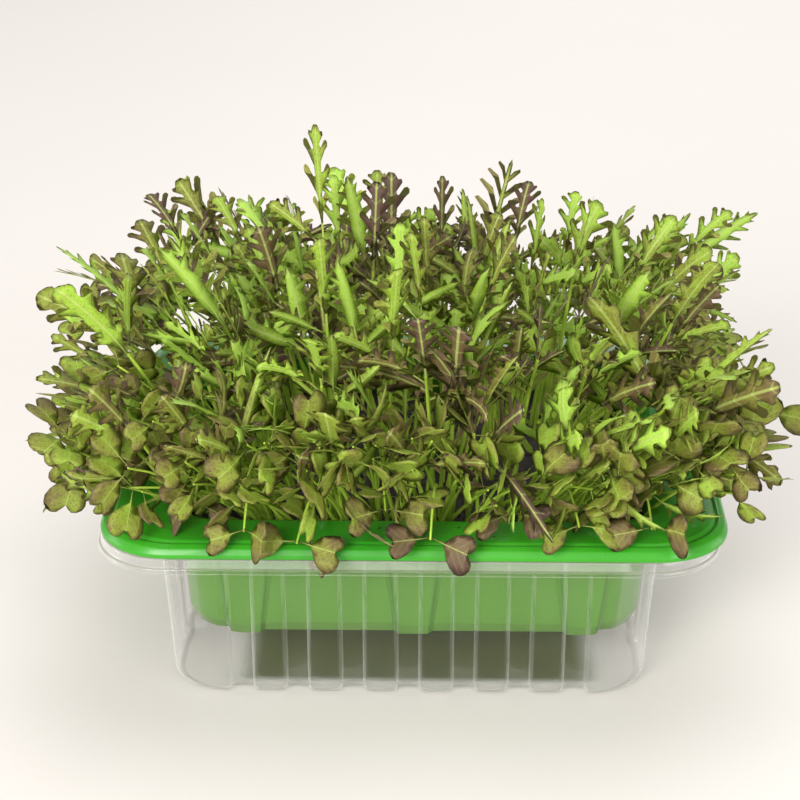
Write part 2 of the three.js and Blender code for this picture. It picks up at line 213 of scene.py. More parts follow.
sky = bpy.data.worlds.new("studio")
sky.use_nodes = True
sky.node_tree.nodes["Background"].inputs["Color"].default_value = (1, 0.985, 0.965, 1)
sky.node_tree.nodes["Background"].inputs["Strength"].default_value = 0.5
bpy.context.scene.world = sky

SOFTBOXES = {
    "key": ((-0.7, -1.5, 0.8), 0.8, 38, (1, 0.985, 0.95)),
    "fill": ((1.0, -1.2, 0.6), 0.9, 15, (1, 0.99, 0.97)),
    "top": ((0.1, 0.3, 1.6), 1.2, 12, (1, 1, 1)),
    "back": ((0.3, 1.5, 0.9), 1.0, 8, (1, 1, 1)),
    "left": ((-1.5, 0.1, 0.3), 0.7, 7, (1, 0.98, 0.94)),
    "right": ((1.5, 0.3, 0.3), 0.7, 5, (1, 0.98, 0.94)),
}
for name, (spot, size, power, tint) in SOFTBOXES.items():
    lamp = bpy.data.lights.new(name, "AREA")
    lamp.size = size
    lamp.energy = power
    lamp.color = tint
    holder = bpy.data.objects.new(name, lamp)
    holder.location = spot
    aim = Vector((0, 0, 0.08)) - Vector(spot)
    holder.rotation_euler = aim.to_track_quat("-Z", "Y").to_euler()
    bpy.context.scene.collection.objects.link(holder)

# ---------------------------------------------------------------- clear outer tray
# A thin clear tray, vacuum formed in one piece: fluted walls under a broad flange whose edge
# is turned down. It holds water under the green tray and stands on its flat base. Painted
# light on it: a reflection band on the turned-down edge, dark shade lines at the flange's
# bends, and painted shade on the base under the green tray.

FLANGE_LENGTH = 214.4
FLANGE_WIDTH = 185.0
FLANGE_CORNER = 24.5
FLANGE_REACH = 19.2
FLANGE_TOP = 65.5
FLUTE_PITCH = 19.6
FLUTE_EDGES = (-5.1, -4.0, 4.0, 5.1)
FLUTE_HALF = 4.05
FLUTE_TOP = 60
FLUTE_FALL = 62
FLUTE_DEEP = {"long": 3.4, "short": 1.0}
FLUTE_COUNT = {"long": 7, "short": 4}
WALL_INSET = 27
CLEAR_PROFILE = [(0, 60.4), (0.3, 61.8), (0.9, 62.4), (1.3, FLANGE_TOP), (FLANGE_REACH, FLANGE_TOP),
                 (20.2, 50), (21.2, 34), (22.2, 18), (22.9, 3.4), (23.6, 1.4), (26.3, 0.4)]


def rounded_loop(length, width, corner, middle, height):
    """A rounded rectangle of edges, cut from a plane, as the first level of a tray."""
    piece = start("plane", size=1, location=(0, 0, 0))
    bpy.ops.transform.resize(value=(length * MM, width * MM, 1), center_override=(0, 0, 0))
    bpy.ops.mesh.bevel(offset=corner * MM, segments=12, affect="VERTICES")
    bpy.ops.mesh.delete(type="ONLY_FACE")
    bpy.ops.mesh.select_all(action="SELECT")
    bpy.ops.transform.translate(value=(middle[0] * MM, middle[1] * MM, height * MM))
    return piece


def raise_levels(profile, length, width, middle, squeeze=lambda height: 0):
    """Extrudes the selected loop through a profile of insets and heights, and fills the last."""
    inset, height = profile[0]
    for next_inset, next_height in profile[1:]:
        slim = squeeze(next_height) - squeeze(height)
        old = (length - 2 * inset, width - 2 * inset - 2 * squeeze(height))
        new = (length - 2 * next_inset, old[1] - 2 * (next_inset - inset) - 2 * slim)
        bpy.ops.mesh.extrude_region_move(
            TRANSFORM_OT_translate={"value": (0, 0, (next_height - height) * MM)})
        bpy.ops.transform.resize(
            value=(new[0] / old[0], new[1] / old[1], 1),
            center_override=(middle[0] * MM, middle[1] * MM, next_height * MM))
        inset, height = next_inset, next_height
    bpy.ops.mesh.edge_face_add()


def cut_across(places, axis, unit=MM):
    """Cuts the whole piece by planes at these places along an axis."""
    for place in places:
        bpy.ops.mesh.select_all(action="SELECT")
        where = [0, 0, 0]
        where[axis] = place * unit
        facing = [0, 0, 0]
        facing[axis] = 1
        bpy.ops.mesh.bisect(plane_co=where, plane_no=facing)


clear = rounded_loop(FLANGE_LENGTH, FLANGE_WIDTH, FLANGE_CORNER, (0, 0), CLEAR_PROFILE[0][1])
raise_levels(CLEAR_PROFILE, FLANGE_LENGTH, FLANGE_WIDTH, (0, 0))
for axis, side in enumerate(("long", "short")):
    middles = [(k - (FLUTE_COUNT[side] - 1) / 2) * FLUTE_PITCH for k in range(FLUTE_COUNT[side])]
    cut_across([middle + edge for middle in middles for edge in FLUTE_EDGES], axis)
    half = (FLANGE_LENGTH, FLANGE_WIDTH)[1 - axis] / 2 * MM
    shape = bmesh.from_edit_mesh(clear.data)
    for vertex in shape.verts:
        along, out, high = vertex.co[axis], vertex.co[1 - axis], vertex.co.z
        wall = abs(out) > half - WALL_INSET * MM and high < FLUTE_TOP * MM
        if wall and any(abs(along - middle * MM) < FLUTE_HALF * MM for middle in middles):
            share = min(1, (FLANGE_TOP * MM - high) / (FLUTE_FALL * MM))
            vertex.co[1 - axis] -= math.copysign(FLUTE_DEEP[side] * share * MM, out)
    bmesh.update_edit_mesh(clear.data)
bpy.ops.mesh.select_all(action="SELECT")
bpy.ops.mesh.normals_make_consistent(inside=False)
close(clear, "clear_tray")
modify(clear, "BEVEL", width=0.0005, segments=2, limit_method="ANGLE", angle_limit=0.35)
modify(clear, "SOLIDIFY", thickness=0.0006, offset=-1)
bpy.ops.object.shade_smooth_by_angle(angle=0.7)

film = Finish("clear plastic")
haze = film.step(film.noise(60, 2), 0.3, 0.75)
outer = 1 - film.add("ShaderNodeNewGeometry", output="Backfacing")
sheen = film.add("ShaderNodeFresnel", None, {"IOR": 1.5}) * (0.12 + outer * 0.4)
axes = film.add("ShaderNodeSeparateXYZ", None, {"Vector": film.place()}).socket.node.outputs
across, depth, high = (Wire(film, axes[axis]) for axis in "XYZ")
# A dark olive patch on the base under the green tray is painted shade, tinted green by the tray above.
painted_base_shade = film.step(high, 0.0042, 0.0022) * film.step(abs(across - 0.003), 0.070, 0.056)
painted_base_shade = painted_base_shade * film.step(abs(depth), 0.064, 0.058)
# A white band along the middle of the turned-down flange edge is a painted reflection of the lamps: it
# raises the milky veil there.
painted_reflection_band = film.step(abs(high - 0.0638), 0.0016, 0.0012) * film.step(abs(across), 0.076, 0.073)
# Thin dark lines at the flange's two bends and along its lower edge are painted shade, standing in for
# the darkening of bent, refracting plastic.
painted_bend_shade = film.step(abs(high - 0.0654), 0.0004, 0.0002) + film.step(abs(high - 0.0621), 0.0004, 0.0002)
painted_edge_shade = painted_bend_shade + film.step(high, 0.0607, 0.0604) * film.step(high, 0.0590, 0.0600)
milky = film.mix(haze, (0.80, 0.83, 0.79), (0.88, 0.90, 0.87))
veil = film.add("ShaderNodeBsdfPrincipled", None, {
    "Base Color": film.mix(painted_base_shade, film.mix(painted_edge_shade, milky, (0.20, 0.21, 0.15)), (0.095, 0.118, 0.028)),
    "Roughness": 0.3,
})
through = film.add("ShaderNodeBsdfTransparent", None, {"Color": (1, 1, 1, 1)})
gloss = film.add("ShaderNodeBsdfGlossy", None, {"Color": (1, 1, 1, 1), "Roughness": 0.08})
turned = film.add("ShaderNodeLayerWeight", None, {"Blend": 0.5}, "Facing")
veiled = 0.004 + haze * 0.006 + painted_reflection_band * 0.16 + painted_edge_shade * 0.45 + turned ** 4 * 0.65
body = film.add("ShaderNodeMixShader", None, {0: outer * veiled + painted_base_shade * 0.8, 1: through, 2: veil})
clear.data.materials.append(film.done(
    film.add("ShaderNodeMixShader", None, {0: sheen, 1: body, 2: gloss})))
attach(clear, "root")
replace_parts(clear, "outer_tray")

# ---------------------------------------------------------------- green tray
# The seed tray: glossy green plastic, hung in the clear one by a stepped rim with a groove and
# an outer lip. Three foot ribs stand out of each long wall and narrow towards the floor, which
# has six drain holes.

GREEN_MIDDLE = (1.7, 1.2)
RIM_LENGTH = 214.0
RIM_WIDTH = 185.0
RIM_CORNER = 24.5
BODY_TOP = 60
BODY_HALF = 55
FLOOR = 19
FOOT_SPACING = 59.5
FOOT_EDGES = (-9.5, -7.5, 7.5, 9.5)
FOOT_FACE, FOOT_WHOLE = 7.6, 9.6
FOOT_TOP, FOOT_LEAN = 66, 0.05
FOOT_NARROW, FOOT_SPREAD = 0.667, 0.0148
FOOT_LINE = (111, 2.9)
DRAIN_RADIUS = 2.4
DRAINS = [(x, y) for x in (-50, 0, 50) for y in (-30, 30)]
GREEN_PROFILE = [(0.2, 66.3), (0.1, 67.2), (1.0, 68.7), (2.2, 69.4), (3.4, 68.7), (4.6, 69.7),
                 (11.5, 69.9), (18.6, 69.7), (21.6, 68.4), (23.9, 64.6), (25.2, 45), (26.4, 25.4),
                 (28.2, 21.2), (31.8, 19.3)]


def green_squeeze(height):
    """How much more the narrow way draws in, from the rim down."""
    return 1.9 * min(1, max(0, (64.6 - height) / 39.6))


green = rounded_loop(RIM_LENGTH - 0.4, RIM_WIDTH - 0.4, RIM_CORNER, GREEN_MIDDLE,
                     GREEN_PROFILE[0][1])
raise_levels(GREEN_PROFILE, RIM_LENGTH, RIM_WIDTH, GREEN_MIDDLE, green_squeeze)
feet = [GREEN_MIDDLE[0] + offset for offset in (-FOOT_SPACING, 0, FOOT_SPACING)]
cut_across([foot + edge for foot in feet for edge in FOOT_EDGES], 0)
shape = bmesh.from_edit_mesh(green.data)
for vertex in shape.verts:
    out = vertex.co.y - GREEN_MIDDLE[1] * MM
    if vertex.co.z < BODY_TOP * MM and abs(out) > BODY_HALF * MM:
        for foot in feet:
            aside = vertex.co.x - foot * MM
            if abs(aside) < FOOT_FACE * MM:
                vertex.co.y += math.copysign((FOOT_TOP * MM - vertex.co.z) * FOOT_LEAN, out)
            if abs(aside) < FOOT_WHOLE * MM:
                wide = FOOT_NARROW + (vertex.co.z / MM - FLOOR) * FOOT_SPREAD
                vertex.co.x = foot * MM + aside * wide
bmesh.update_edit_mesh(green.data)
bpy.ops.mesh.select_all(action="SELECT")
bpy.ops.mesh.normals_make_consistent(inside=False)
close(green, "green_seed_tray")
modify(green, "BEVEL", width=0.0007, segments=3, limit_method="ANGLE", angle_limit=0.25)
modify(green, "SOLIDIFY", thickness=0.001, offset=1)
for x, y in DRAINS:
    drill = start("cylinder", vertices=16, radius=DRAIN_RADIUS * MM, depth=9 * MM,
                  location=((x + GREEN_MIDDLE[0]) * MM, y * MM, FLOOR * MM))
    close(drill, "drill")
    modify(green, "BOOLEAN", operation="DIFFERENCE", object=drill, solver="EXACT")
    bpy.data.objects.remove(drill)
bpy.ops.object.select_all(action="DESELECT")
green.select_set(True)
bpy.context.view_layer.objects.active = green
bpy.ops.object.shade_smooth_by_angle(angle=0.8)

shell = Finish("green plastic")
mottle = shell.step(shell.noise(14, 2), 0.3, 0.7)
height = shell.add("ShaderNodeSeparateXYZ", None, {"Vector": shell.place()}, "Z")
# Below the rim the tray is painted a darker, duller green: painted shade on the body under the flange
# and on the inner wall above the soil.
filled = shell.step(height, 0.064, 0.058)
shell_colour = shell.mix(mottle, (0.020, 0.225, 0.010), (0.032, 0.27, 0.010))
shell_colour = shell.mix(filled, shell_colour, (0.070, 0.185, 0.020))
# Darker towards the bottom, with a ragged edge.
darker_towards_floor = shell.step(height + shell.noise(40, 3) * 0.012, 0.036, 0.022)
shell_colour = shell.mix(darker_towards_floor * 0.5, shell_colour, (0.075, 0.135, 0.02))
along = shell.add("ShaderNodeSeparateXYZ", None, {"Vector": shell.place()}, "X")
aside = ((along - GREEN_MIDDLE[0] * MM) * (1000 / FOOT_SPACING) + 0.5).fraction() - 0.5
aside = abs(aside) * FOOT_SPACING
# Dark lines along the flanks of the foot ribs are painted shade where the flanks turn away from the
# light.
foot_flank_shade = shell.step(abs(aside - (height * FOOT_LINE[0] + FOOT_LINE[1])), 0.9, 0.25) * filled
shell_colour = shell.mix(foot_flank_shade * 0.6, shell_colour, (0.035, 0.12, 0.012))
specks = shell.step(shell.noise(900, 2), 0.66, 0.72)
shell_colour = shell.mix(specks * 0.35, shell_colour, (0.02, 0.10, 0.01))
green.data.materials.append(shell.done(shell.add("ShaderNodeBsdfPrincipled", None, {
    "Base Color": shell_colour,
    "Roughness": 0.3 + mottle * 0.08,
    "Specular IOR Level": 0.35,
    "Coat Weight": 0.12,
    "Normal": shell.bump(shell.noise(220, 2), 0.08, 0.001),
})))
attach(green, "root")
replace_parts(green, "green_tray")

# ---------------------------------------------------------------- soil
# Black peat compost, filled to just below the rim and loose on top, with crumbs that were
# spilt on the rim when the seeds were covered.

SOIL_TOP = 57.0
BED_LENGTH, BED_WIDTH, BED_DEPTH = 165, 132, 37
CRUMBS = 420
ON_RIM = 70.1


def make_draw(seed):
    """Repeatable random draws between a low and a high value, as the solids draw them."""
    state = [(seed * 7919 + 104729) % 4294967296]

    def following():
        state[0] = (state[0] * 1664525 + 1013904223) % 4294967296
        return state[0] / 4294967296

    following()
    following()
    return lambda low, high: low + (high - low) * following()


def lumps(x, y, scale, seed):
    """A smooth bumpy field over the plane, from -1 to 1."""
    draw = make_draw(seed)
    total = 0 * x
    for _ in range(7):
        turn = draw(0, math.tau)
        wave = scale * draw(0.6, 2.2)
        run = x * math.cos(turn) + y * math.sin(turn)
        total = total + np.sin(wave * run + draw(0, math.tau))
    return total / 7


soil = start("cube", size=1, location=(0, 0, 0))
bpy.ops.transform.resize(value=(BED_LENGTH * MM, BED_WIDTH * MM, BED_DEPTH * MM),
                         center_override=(0, 0, 0))
bpy.ops.transform.translate(
    value=(GREEN_MIDDLE[0] * MM, GREEN_MIDDLE[1] * MM, (SOIL_TOP - BED_DEPTH / 2) * MM))
pick(soil, "edges", lambda edge: abs(edge.verts[0].co.z - edge.verts[1].co.z) > 0.01)
bpy.ops.mesh.bevel(offset=15 * MM, segments=5, affect="EDGES")
pick(soil, "faces", lambda face: face.normal.z < -0.9)
bpy.ops.transform.resize(value=(0.95, 0.925, 1),
                         center_override=(GREEN_MIDDLE[0] * MM, GREEN_MIDDLE[1] * MM, 0))
bpy.ops.mesh.bevel(offset=3 * MM, segments=2, affect="EDGES")
cut_across(range(-81, 85, 3), 0)
cut_across(range(-63, 67, 3), 1)
bpy.ops.mesh.select_all(action="SELECT")
bpy.ops.mesh.remove_doubles(threshold=0.0001)
close(soil, "peat")
place = np.array([vertex.co for vertex in soil.data.vertices]) / MM
loose = np.clip(place[:, 2] - (SOIL_TOP - 1), 0, 1)
height = (1.3 * lumps(place[:, 0], place[:, 1], 0.35, 11)
          + 1.1 * lumps(place[:, 0], place[:, 1], 1.1, 12))
place[:, 2] += loose * (height - 0.4)
soil.data.vertices.foreach_set("co", (place * MM).ravel())
bpy.ops.object.shade_smooth_by_angle(angle=0.9)

peat = Finish("peat")
crumble = peat.noise(420, 4)
wet = peat.step(peat.noise(70, 2), 0.35, 0.7)
fibres = peat.step(crumble, 0.62, 0.78)
peat_colour = peat.mix(wet, (0.012, 0.008, 0.006), (0.035, 0.023, 0.016))
peat_colour = peat.mix(fibres * 0.6, peat_colour, (0.10, 0.062, 0.035))
peat_finish = peat.done(peat.add("ShaderNodeBsdfPrincipled", None, {
    "Base Color": peat_colour,
    "Roughness": 0.95 - wet * 0.15,
    "Normal": peat.bump(crumble, 0.8, 0.002),
}))
soil.data.materials.append(peat_finish)
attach(soil, "root")
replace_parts(soil, "soil")


def join(pieces, name):
    """Joins copies into one piece."""
    bpy.ops.object.select_all(action="DESELECT")
    for piece in pieces:
        piece.select_set(True)
    bpy.context.view_layer.objects.active = pieces[0]
    bpy.ops.object.join()
    piece = bpy.context.object
    piece.name = name
    piece.data.name = name
    return piece


def copy_of(blank, points, **values):
    """A copy of a blank with a mesh of its own, its points in place and its attributes filled."""
    mesh = blank.data.copy()
    mesh.vertices.foreach_set("co", np.asarray(points, dtype=np.float32).ravel() * MM)
    for name, value in values.items():
        filled = np.full(len(mesh.vertices), value, np.float32)
        mesh.attributes[name].data.foreach_set("value", filled)
    piece = bpy.data.objects.new("copy", mesh)
    bpy.context.scene.collection.objects.link(piece)
    return piece


crumb = start("ico_sphere", subdivisions=1, radius=1, location=(0, 0, 0))
bpy.ops.mesh.bevel(offset=0.25, segments=1, affect="VERTICES")
close(crumb, "crumb")
crumb.data.materials.append(peat_finish)
crumb_shape = np.array([vertex.co for vertex in crumb.data.vertices])
draw = make_draw(31)
crumbs = []
for k in range(CRUMBS):
    x, y = draw(-80, 80), draw(-63, 63)
    size = draw(0.5, 1.7)
    z = SOIL_TOP + size * 0.2 + 1.1
    if k % 4 == 0:
        side = -1 if draw(0, 1) < 0.8 else 1
        x, y, z, size = draw(-88, 88), side * draw(74, 86), ON_RIM, draw(0.25, 0.9)
    turn = draw(0, math.tau)
    squash = np.array([draw(0.7, 1.3), draw(0.6, 1), draw(0.4, 0.8)]) * size
    points = crumb_shape * squash
    points = points @ np.array([[math.cos(turn), math.sin(turn), 0],
                                [-math.sin(turn), math.cos(turn), 0], [0, 0, 1]])
    where = [x + GREEN_MIDDLE[0], y + GREEN_MIDDLE[1], z + squash[2] * 0.6]
    crumbs.append(copy_of(crumb, points + where))
bpy.data.objects.remove(crumb)
crumbs = join(crumbs, "peat_crumbs")
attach(crumbs, "root")

# ---------------------------------------------------------------- leaf and stem blanks
# Five flat leaves and a stem, each made once: the notched seed leaf, a lobed and a broad leaf
# of mustard, a strap and a thread leaf of mizuna. A leaf lies along +X with its length 1, thin
# at the margin and thicker along its midrib.


def lobe(root, length, width, core, angle=0.85):
    """One strap-like, forward-pointing lobe of a right-hand outline."""
    forward = np.array([math.cos(angle), math.sin(angle)])
    aside = np.array([-forward[1], forward[0]]) * width
    middle = np.array([root + 0.5 * width / forward[1], core])
    shape = [(0.5, 0.42), (0.84, 0.52), (0.99, 0.2), (0.97, -0.25), (0.8, -0.5), (0.3, -0.42)]
    return [(root, core), *(tuple(middle + forward * run * length + aside * off) for run, off in shape),
            (root + width / forward[1] + 0.02, core * 0.9)]


SEED_LEAF = [(0, 0.025), (0.3, 0.025), (0.36, 0.1), (0.42, 0.22), (0.5, 0.34), (0.6, 0.43),
             (0.72, 0.49), (0.84, 0.48), (0.94, 0.4), (0.99, 0.28), (0.985, 0.16), (0.92, 0.07)]
LOBED_LEAF = [(0, 0.014), (0.22, 0.018), *lobe(0.27, 0.11, 0.065, 0.035),
              *lobe(0.43, 0.22, 0.082, 0.062), *lobe(0.645, 0.2, 0.08, 0.068, 0.75), (0.81, 0.06),
              (0.86, 0.1), (0.9, 0.13), (0.935, 0.12), (0.93, 0.075), (0.96, 0.06), (0.99, 0.035)]
BROAD_LEAF = [(0, 0.014), (0.16, 0.02), *lobe(0.24, 0.12, 0.08, 0.07), *lobe(0.42, 0.17, 0.1, 0.095),
              *lobe(0.62, 0.17, 0.1, 0.1, 0.75), (0.82, 0.085), (0.86, 0.12), (0.91, 0.14),
              (0.95, 0.11), (0.99, 0.04)]
STRAP_LEAF = [(0, 0.014), (0.22, 0.016), (0.3, 0.045), (0.37, 0.14), (0.395, 0.14), (0.375, 0.06),
              (0.43, 0.062), (0.52, 0.19), (0.545, 0.185), (0.51, 0.07), (0.57, 0.068), (0.68, 0.18),
              (0.7, 0.17), (0.65, 0.065), (0.71, 0.06), (0.81, 0.13), (0.825, 0.12), (0.79, 0.05),
              (0.84, 0.045), (0.92, 0.07), (0.9, 0.035), (0.98, 0.02)]


def thread_leaf():
    """The outline of a leaf that is cut to fine threads."""
    points = [(0, 0.016), (0.14, 0.02)]
    for k in range(5):
        root = 0.16 + 0.155 * k
        reach = (0.18, 0.26, 0.27, 0.21, 0.12)[k]
        points += [(root, 0.022), (root + 0.5 * reach, 0.6 * reach), (root + 0.66 * reach + 0.04, reach),
                   (root + 0.6 * reach + 0.075, 0.9 * reach), (root + 0.45 * reach + 0.06, 0.45 * reach),
                   (root + 0.07, 0.024)]
    return points + [(0.95, 0.02)]


def put_away(blank):
    """Takes a finished blank out of the scene."""
    for home in list(blank.users_collection):
        home.objects.unlink(blank)


def leaf_blank(name, right, tip, cuts, skew, lengthwise=(0,)):
    """A closed thin leaf from its right-hand outline, with the left a little out of step."""
    left = [(u + skew * math.sin(3 * u) * (v > 0.03), v * (0.92 + 0.1 * math.sin(7 * u)))
            for u, v in right]
    outline = [(u, -v) for u, v in right] + [(tip, 0)] + left[::-1]
    blank = start("circle", vertices=len(outline), radius=1, fill_type="NGON", location=(0, 0, 0))
    shape = bmesh.from_edit_mesh(blank.data)
    shape.verts.ensure_lookup_table()
    for vertex, (u, v) in zip(shape.verts, outline):
        vertex.co = (u, v, 0)
    bmesh.update_edit_mesh(blank.data)
    cut_across(lengthwise, 1, 1)
    cut_across(cuts, 0, 1)
    pick(blank, "verts", lambda vertex: not vertex.is_boundary)
    bpy.ops.transform.translate(value=(0, 0, 1))
    bpy.ops.mesh.select_all(action="SELECT")
    bpy.ops.mesh.duplicate()
    bpy.ops.transform.resize(value=(1, 1, -1), center_override=(0, 0, 0))
    bpy.ops.mesh.select_all(action="SELECT")
    bpy.ops.mesh.remove_doubles(threshold=0.0001)
    bpy.ops.mesh.normals_make_consistent(inside=False)
    close(blank, name)
    bpy.ops.object.shade_smooth_by_angle(angle=1.2)
    mesh = blank.data
    points = np.array([vertex.co for vertex in mesh.vertices])
    mesh.attributes.new("margin", "FLOAT", "POINT").data.foreach_set(
        "value", (np.abs(points[:, 2]) < 0.5).astype(np.float32))
    for attribute in ("tone", "stalk"):
        mesh.attributes.new(attribute, "FLOAT", "POINT")
    pattern = mesh.uv_layers.new(name="leaf").data
    loops = np.zeros(len(mesh.loops), int)
    mesh.loops.foreach_get("vertex_index", loops)
    pattern.foreach_set("uv", points[loops][:, :2].ravel())
    put_away(blank)
    return blank, points


BLANKS = {
    "seed": leaf_blank("seed_leaf", SEED_LEAF, 0.85, (0.4, 0.55, 0.7, 0.84), 0, (-0.26, 0, 0.26)),
    "lobed": leaf_blank("lobed_leaf", LOBED_LEAF, 1, (0.2, 0.4, 0.57, 0.77, 0.9), 0.05, (-0.04, 0.04)),
    "broad": leaf_blank("broad_leaf", BROAD_LEAF, 1, (0.3, 0.45, 0.6, 0.75, 0.88), 0.03,
                        (-0.07, 0, 0.07)),
    "strap": leaf_blank("strap_leaf", STRAP_LEAF, 1, (0.2, 0.43, 0.59, 0.74, 0.88), 0.06),
    "thread": leaf_blank("thread_leaf", thread_leaf(), 1, (0.17, 0.33, 0.48, 0.64, 0.8), 0.05),
}

stem = start("cylinder", vertices=5, radius=1, depth=1, location=(0, 0, 0.5), end_fill_type="NGON")
cut_across([k / 8 for k in range(1, 8)], 2, 1)
close(stem, "stem")
bpy.ops.object.shade_smooth_by_angle(angle=1.4)
stem_shape = np.array([vertex.co for vertex in stem.data.vertices])
for name in ("margin", "tone", "stalk"):
    stem.data.attributes.new(name, "FLOAT", "POINT")
stem.data.uv_layers.new(name="leaf")
put_away(stem)

# ---------------------------------------------------------------- sowing
# Where each seedling of the 32 clumps stands and how it bends, by the same rule as the solids
# that the clumps replace. The draws come in the same order.

COLUMNS, ROWS = 8, 4
COLUMN_PITCH, ROW_PITCH = 20.2, 31
CLEARANCE = 2.5
FREE_FOOT = 12
HALF_STEM = 0.8
OVER_SOIL, OVER_RIM, BESIDE_RIM = 8, 71.2, 34
BED_HALF, RIM_HALF, CROP_HALF = (79, 63), (111, 95.5), (147, 112)
ATTEMPTS = 120
SEED = 7

clump_spots = []
for row in range(ROWS):
    for column in range(COLUMNS):
        draw = make_draw(SEED + 31 * len(clump_spots))
        x = (column - (COLUMNS - 1) / 2) * COLUMN_PITCH + draw(-2.5, 2.5)
        y = (row - (ROWS - 1) / 2) * ROW_PITCH + draw(-3, 3) + (3 if column % 2 else -3)
        clump_spots.append((x + GREEN_MIDDLE[0], y + GREEN_MIDDLE[1]))


def stem_to(share, painted_bend_shade):
    return [(share * k / painted_bend_shade, 0, HALF_STEM) for k in range(painted_bend_shade)] + [(share, -1, HALF_STEM)]


def low_leaf(share, size):
    return [(share, -5 * size, 8.5 * size), (share, -3 * size, 17 * size), (share, size, 15 * size),
            (share, 5 * size, 17.5 * size), (share, 6 * size, 8.5 * size), (share, 1.2, HALF_STEM)]


def side_leaf(share, size):
    return [(share, 3 * size, 11 * size), (share, 9 * size, 12 * size), (share, 19 * size, 24 * size),
            (share, 15 * size, 11 * size), (share, 16 * size, 7 * size), (share, 1.4, HALF_STEM)]


def frills(begin, width, count):
    points = []
    for k in range(count):
        share = begin + ((k + 0.8) / (count + 0.4)) * (1 - begin)
        reach = width * (0.75 if k == 0 else 1) * (0.7 if k == count - 1 and count > 2 else 1)
        points += [(share, 2, reach / 2), (share, 2.6, width * 0.09)]
    return points[:-1]


OUTLINES = {
    "frond": (stem_to(0.5, 2) + side_leaf(0.5, 1) + frills(0.66, 17, 2),
              stem_to(0.58, 2) + side_leaf(0.58, 0.9) + frills(0.66, 17, 2)),
    "plume": (stem_to(0.55, 3) + frills(0.55, 19, 3), stem_to(0.57, 3) + frills(0.57, 19, 3)),
    "pair": (stem_to(0.62, 2) + low_leaf(0.62, 0.95) + frills(0.7, 10, 1),
             stem_to(0.62, 2) + low_leaf(0.62, 0.85) + frills(0.7, 10, 1)),
    "dangle": (stem_to(0.86, 5) + low_leaf(0.86, 0.85), stem_to(0.86, 5) + low_leaf(0.86, 0.75)),
}


def flat_outline(kind, length):
    right, left = ([(share * length + along, across) for share, along, across in side]
                   for side in OUTLINES[kind])
    return np.array([(a, -b) for a, b in left] + [(length, 0)] + right[::-1])


def inside(outline, points):
    found = np.zeros(len(points), bool)
    along, across = points[:, 0], points[:, 1]
    for (a, b), (c, d) in zip(outline, np.roll(outline, -1, axis=0)):
        if b != d:
            found ^= ((b > across) != (d > across)) & (along < (c - a) * (across - b) / (d - b) + a)
    return found


def flat_samples(outline, length):
    step = CLEARANCE * 0.9
    grid = []
    along = FREE_FOOT
    while along < length:
        grid += [(along, k * step) for k in range(-12, 13)]
        along += step
    grid = np.array(grid)
    return np.vstack([outline[outline[:, 0] > FREE_FOOT], grid[inside(outline, grid)]])


def rib(seedling, share):
    """Points, side vectors and up vectors of the curve from foot to tip at these shares."""
    foot, knee, tip = (np.array(seedling[name]) for name in ("foot", "knee", "tip"))
    share = np.asarray(share, float)[:, None]
    rest = 1 - share
    centre = rest * rest * foot + 2 * rest * share * knee + share * share * tip
    side = np.cross(knee - foot, tip - knee)
    side /= np.linalg.norm(side)
    tangent = (knee - foot) * rest + (tip - knee) * share
    tangent /= np.linalg.norm(tangent, axis=1)[:, None]
    return centre, side, np.cross(tangent, side)


def bent(seedling, flat):
    """Points laid out flat, as along, across and lift, on the bent and curled seedling."""
    centre, side, up = rib(seedling, flat[:, 0] / seedling["length"])
    curl, roll = seedling["curl"], seedling["roll"]
    turn = curl * flat[:, 1]
    lift = flat[:, 2] if flat.shape[1] > 2 else 0
    wide = np.sin(turn) / curl - lift * np.sin(turn)
    high = (1 - np.cos(turn)) / curl + lift * np.cos(turn)
    a = wide * math.cos(roll) - high * math.sin(roll)
    b = wide * math.sin(roll) + high * math.cos(roll)
    return centre + side * a[:, None] + up * b[:, None]


def near_tray(points):
    """Whether any point is too close to the soil, the rim or the side of the trays."""
    x, y, z = points.T
    side, depth = abs(x - GREEN_MIDDLE[0]), abs(y - GREEN_MIDDLE[1])
    floor = np.where((side < BED_HALF[0]) & (depth < BED_HALF[1]), SOIL_TOP + OVER_SOIL,
                     np.where((side < RIM_HALF[0]) & (depth < RIM_HALF[1]), OVER_RIM, BESIDE_RIM))
    return bool(np.any((abs(x) > CROP_HALF[0]) | (abs(y) > CROP_HALF[1]) | (z < floor)))


taken = {}


def cell(point):
    return tuple(int(math.floor(value / CLEARANCE)) for value in point)


def take(points):
    for point in points:
        taken.setdefault(cell(point), []).append(point)


def meets(points):
    for x, y, z in points:
        i, j, k = cell((x, y, z))
        for a in (i - 1, i, i + 1):
            for b in (j - 1, j, j + 1):
                for c in (k - 1, k, k + 1):
                    for p, q, r in taken.get((a, b, c), ()):
                        if (x - p) ** 2 + (y - q) ** 2 + (z - r) ** 2 < CLEARANCE ** 2:
                            return True
    return False


def tried(draw, kind, foot, wish, bow, loose):
    """One try at a seedling: a tip near the wished one, a knee, a roll and a curl."""
    tip = [value + draw(-1, 1) * loose for value in wish]
    lean = draw(0.2, 0.5)
    knee = [foot[0] + (tip[0] - foot[0]) * lean, foot[1] + (tip[1] - foot[1]) * lean,
            max(tip[2] * 0.75, SOIL_TOP + bow) + draw(-5, 5)]
    seedling = {"kind": kind, "foot": foot, "knee": knee, "tip": tip, "roll": draw(-0.6, 0.6)}
    seedling["curl"] = draw(0.01, 0.045) * (-1 if draw(0, 1) < 0.6 else 1)
    chord = np.diff(rib(seedling, np.arange(21) / 20)[0], axis=0)
    seedling["length"] = float(np.linalg.norm(chord, axis=1).sum())
    return seedling


